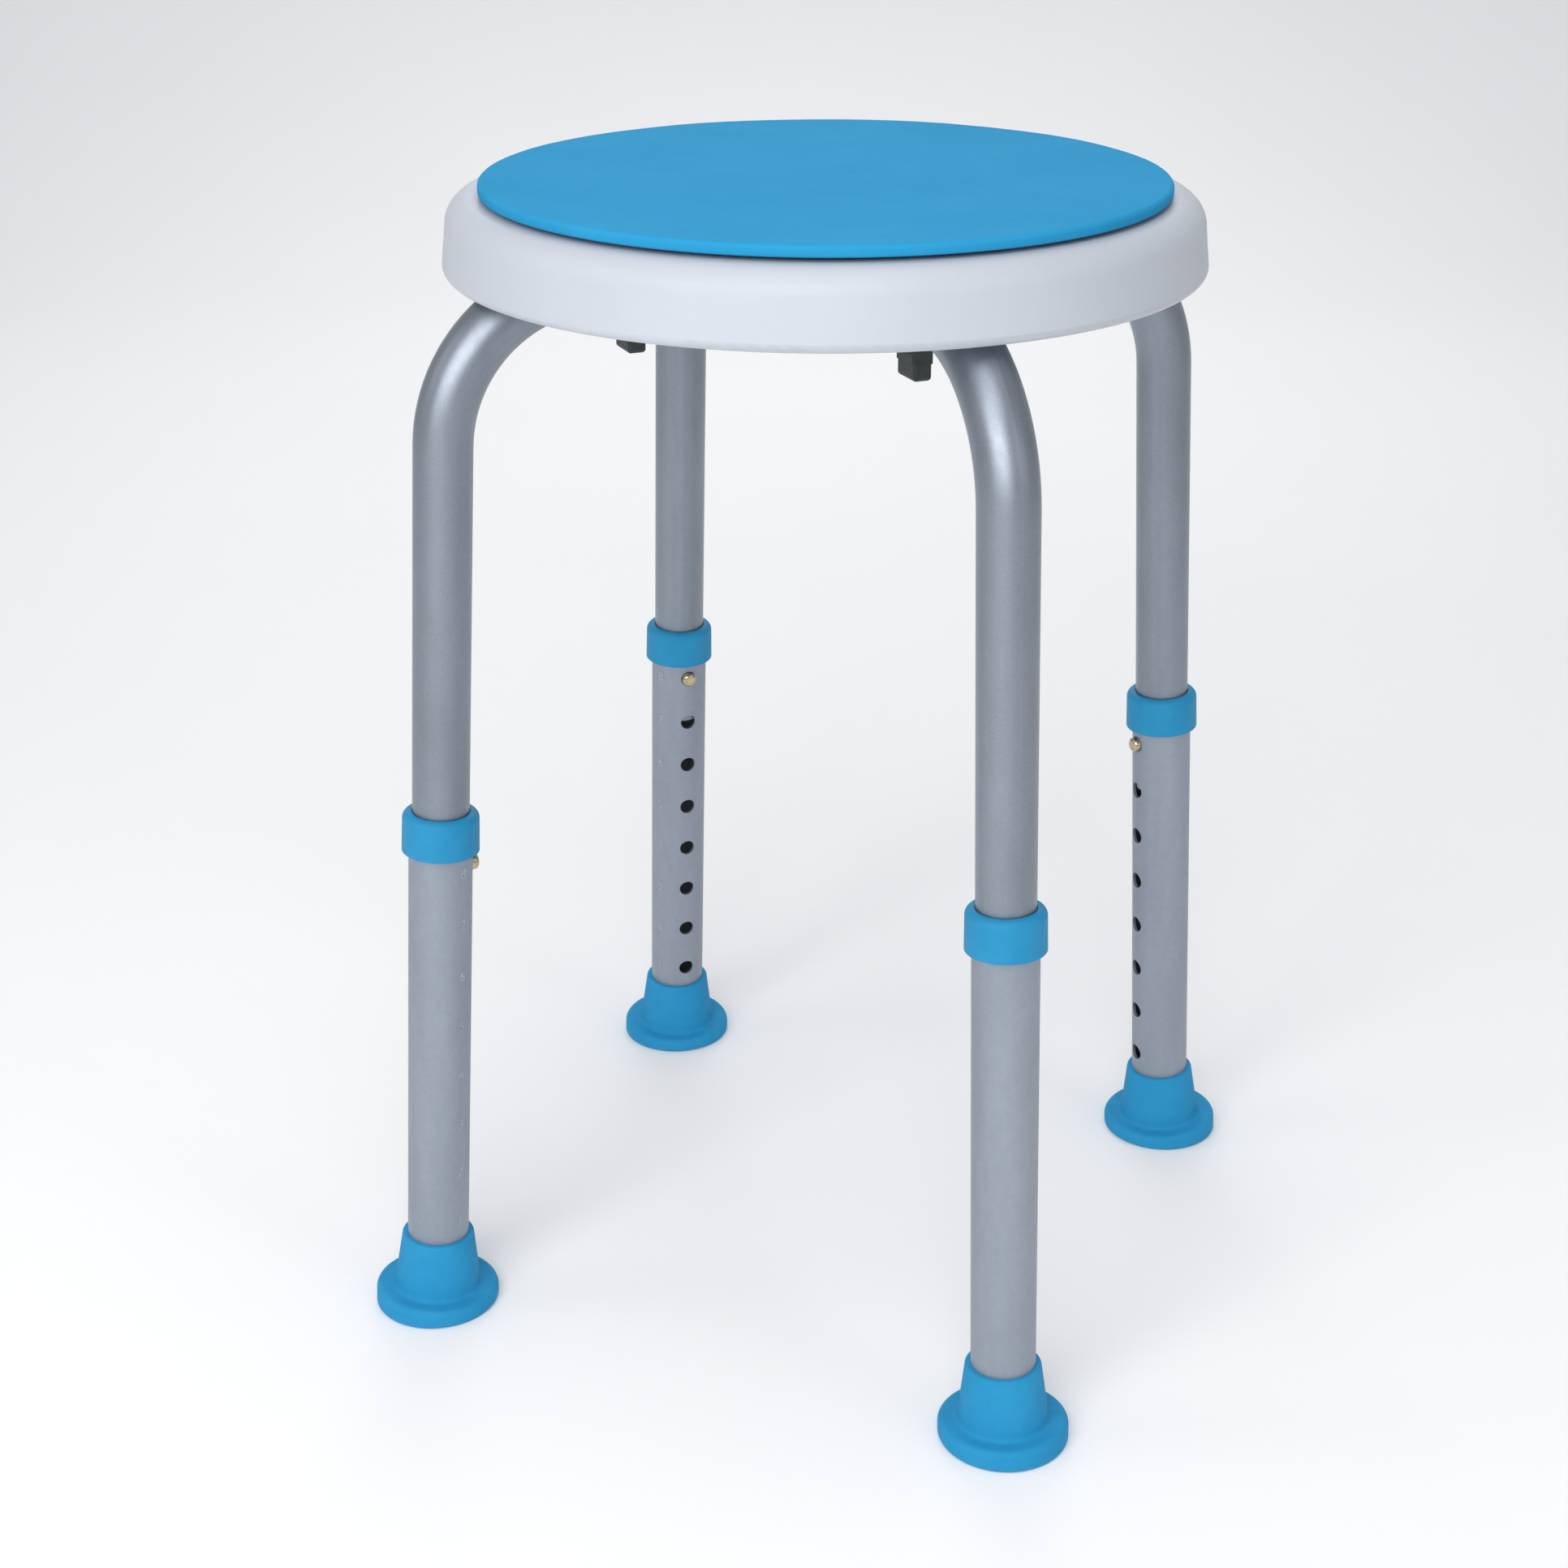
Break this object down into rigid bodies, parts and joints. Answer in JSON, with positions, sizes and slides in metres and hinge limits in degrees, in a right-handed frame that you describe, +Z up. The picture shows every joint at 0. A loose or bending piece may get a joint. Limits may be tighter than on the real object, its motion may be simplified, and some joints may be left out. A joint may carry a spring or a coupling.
{
  "type": "shower stool",
  "caption": "Round backless shower stool with a swivelling foam-topped seat, splayed tubular legs that telescope on snap buttons, and wide rubber feet.",
  "frame": {"origin": "on the floor, centred under the seat's swivel axis", "axes": "+Z up; -Y is taken as the front; a leg stands on each diagonal"},
  "size_m": [0.3406, 0.3406, 0.5169],
  "materials": {
    "bright_aluminium": "bright anodised, lightly brushed along the tube",
    "satin_aluminium": "matte silver anodised",
    "blue_plastic": "satin moulded",
    "blue_rubber": "matte moulded rubber",
    "zinc_steel": "zinc plated",
    "warm_nickel": "plated, slightly warm",
    "spring_steel": "tempered strip",
    "dark_plastic": "dark grey-green, moulded",
    "brass_insert": "plain",
    "white_plastic": "white moulding, faint sheen",
    "glide_plastic": "natural acetal",
    "disc_plastic": "satin moulded",
    "blue_foam": "closed-cell foam, matte",
    "stainless_steel": "plain"
  },
  "bodies": {
    "frame": {"upper_leg_front_left": "bright_aluminium", "button_spring_front_left": "spring_steel", "leg_knob_front_left": "dark_plastic", "upper_leg_front_right": "bright_aluminium", "button_spring_front_right": "spring_steel", "leg_knob_front_right": "dark_plastic", "upper_leg_back_right": "bright_aluminium", "button_spring_back_right": "spring_steel", "leg_knob_back_right": "dark_plastic", "upper_leg_back_left": "bright_aluminium", "button_spring_back_left": "spring_steel", "leg_knob_back_left": "dark_plastic", "knob_studs": "zinc_steel", "thread_inserts": "brass_insert", "seat_base": "white_plastic", "glide_ring": "glide_plastic", "pivot_bushing": "glide_plastic"},
    "swivel": {"swivel_disc": "disc_plastic", "seat_pad": "blue_foam", "pivot_bolt": "stainless_steel", "pivot_washer": "stainless_steel", "pivot_lock_nut": "stainless_steel"},
    "extension_front_left": {"extension_tube_front_left": "satin_aluminium", "extension_collar_front_left": "blue_plastic", "rubber_foot_front_left": "blue_rubber", "foot_washer_front_left": "zinc_steel"},
    "button_front_left": {"snap_button_front_left": "warm_nickel"},
    "extension_front_right": {"extension_tube_front_right": "satin_aluminium", "extension_collar_front_right": "blue_plastic", "rubber_foot_front_right": "blue_rubber", "foot_washer_front_right": "zinc_steel"},
    "button_front_right": {"snap_button_front_right": "warm_nickel"},
    "extension_back_right": {"extension_tube_back_right": "satin_aluminium", "extension_collar_back_right": "blue_plastic", "rubber_foot_back_right": "blue_rubber", "foot_washer_back_right": "zinc_steel"},
    "button_back_right": {"snap_button_back_right": "warm_nickel"},
    "extension_back_left": {"extension_tube_back_left": "satin_aluminium", "extension_collar_back_left": "blue_plastic", "rubber_foot_back_left": "blue_rubber", "foot_washer_back_left": "zinc_steel"},
    "button_back_left": {"snap_button_back_left": "warm_nickel"}
  },
  "joints": [
    {"name": "seat_swivel", "type": "hinge", "parent": "frame", "child": "swivel", "pos_m": [0, 0, 0.507], "axis": [0, 0, 1], "continuous": true},
    {"name": "leg_extension_front_left", "type": "slide", "parent": "frame", "child": "extension_front_left", "axis": [0.0432, 0.0432, 0.9981], "range_m": [0, 0.1524]},
    {"name": "button_press_front_left", "type": "slide", "parent": "frame", "child": "button_front_left", "axis": [-0.7058, -0.7058, 0.061], "range_m": [0, 0.0046], "stiffness_N_per_m": 2500, "deforming": ["button_spring_front_left"]},
    {"name": "leg_extension_front_right", "type": "slide", "parent": "frame", "child": "extension_front_right", "axis": [-0.0432, 0.0432, 0.9981], "range_m": [0, 0.1524]},
    {"name": "button_press_front_right", "type": "slide", "parent": "frame", "child": "button_front_right", "axis": [0.7058, -0.7058, 0.061], "range_m": [0, 0.0046], "stiffness_N_per_m": 2500, "deforming": ["button_spring_front_right"]},
    {"name": "leg_extension_back_right", "type": "slide", "parent": "frame", "child": "extension_back_right", "axis": [-0.0432, -0.0432, 0.9981], "range_m": [0, 0.1524]},
    {"name": "button_press_back_right", "type": "slide", "parent": "frame", "child": "button_back_right", "axis": [0.7058, 0.7058, 0.061], "range_m": [0, 0.0046], "stiffness_N_per_m": 2500, "deforming": ["button_spring_back_right"]},
    {"name": "leg_extension_back_left", "type": "slide", "parent": "frame", "child": "extension_back_left", "axis": [0.0432, -0.0432, 0.9981], "range_m": [0, 0.1524]},
    {"name": "button_press_back_left", "type": "slide", "parent": "frame", "child": "button_back_left", "axis": [-0.7058, 0.7058, 0.061], "range_m": [0, 0.0046], "stiffness_N_per_m": 2500, "deforming": ["button_spring_back_left"]}
  ]
}
